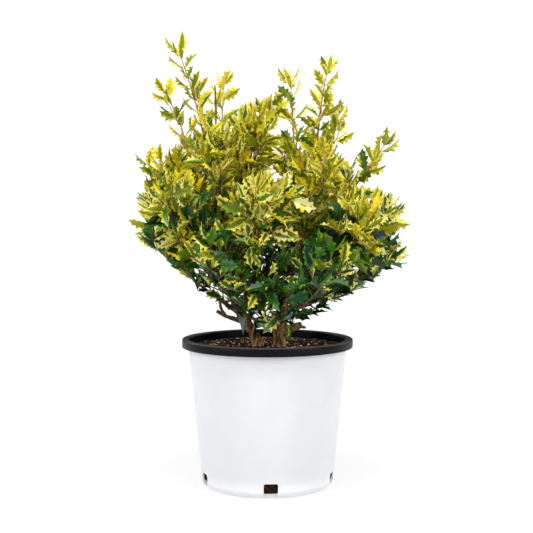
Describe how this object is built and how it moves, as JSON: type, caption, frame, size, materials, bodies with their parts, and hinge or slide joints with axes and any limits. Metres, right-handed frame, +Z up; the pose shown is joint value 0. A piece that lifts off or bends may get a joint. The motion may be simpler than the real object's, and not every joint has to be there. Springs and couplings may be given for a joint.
{
  "type": "potted shrub",
  "caption": "Variegated holly-leaved osmanthus shrub with upright leafy shoots, growing in a tapered white nursery pot with a black rim.",
  "frame": {"origin": "middle of the pot's flat underside", "axes": "+Z up, +X to the right and +Y away from the viewer in the reference picture"},
  "size_m": [0.4755, 0.4572, 0.7297],
  "materials": {
    "pot_white": "smooth satin white",
    "rim_black": "semi-gloss black",
    "potting_mix": "loose damp bark and peat",
    "bark": "rough grey-brown bark",
    "leaf_green": "glossy dark green leaves, few cream flecks",
    "leaf_cream": "green leaves with cream-yellow margins",
    "leaf_yellow": "green leaves with broad yellow margins",
    "leaf_gold": "golden young leaves"
  },
  "bodies": {
    "root": {"bare_twig": "bark", "bough_high_back_left": "bark", "bough_high_back_right": "bark", "bough_high_front": "bark", "bough_high_front_left": "bark", "bough_high_front_right": "bark", "bough_high_left": "bark", "bough_low_back_left": "bark", "bough_low_back_right": "bark", "bough_low_front": "bark", "bough_low_front_left": "bark", "bough_low_front_right": "bark", "bough_low_left": "bark", "bough_low_right": "bark", "bough_mid_back_left": "bark", "bough_mid_back_right": "bark", "bough_mid_front": "bark", "bough_mid_front_left": "bark", "bough_mid_front_right": "bark", "bough_mid_left": "bark", "bough_mid_right": "bark", "bough_shoot_left_inner": "bark", "bough_shoot_left_outer": "bark", "bough_shoot_right": "bark", "bough_shoot_right_inner": "bark", "bough_shoot_right_outer": "bark", "cut_stub": "bark", "dead_branch": "bark", "high_back_left": "leaf_yellow", "high_back_right": "leaf_yellow", "high_front": "leaf_yellow", "high_front_left": "leaf_yellow", "high_front_right": "leaf_yellow", "high_left": "leaf_yellow", "left_stem": "bark", "low_back_left": "leaf_green", "low_back_right": "leaf_green", "low_front": "leaf_green", "low_front_left": "leaf_green", "low_front_right": "leaf_green", "low_left": "leaf_green", "low_right": "leaf_green", "mid_back_left": "leaf_cream", "mid_back_right": "leaf_cream", "mid_front": "leaf_cream", "mid_front_left": "leaf_cream", "mid_front_right": "leaf_cream", "mid_left": "leaf_cream", "mid_right": "leaf_cream", "pot_rim": "rim_black", "pot_wall": "pot_white", "potting_mix": "potting_mix", "right_stem": "bark", "shoot_left_inner": "leaf_gold", "shoot_left_outer": "leaf_gold", "shoot_left_top": "leaf_gold", "shoot_right": "leaf_gold", "shoot_right_inner": "leaf_gold", "shoot_right_outer": "leaf_gold", "shoot_right_top": "leaf_gold"}
  },
  "joints": []
}
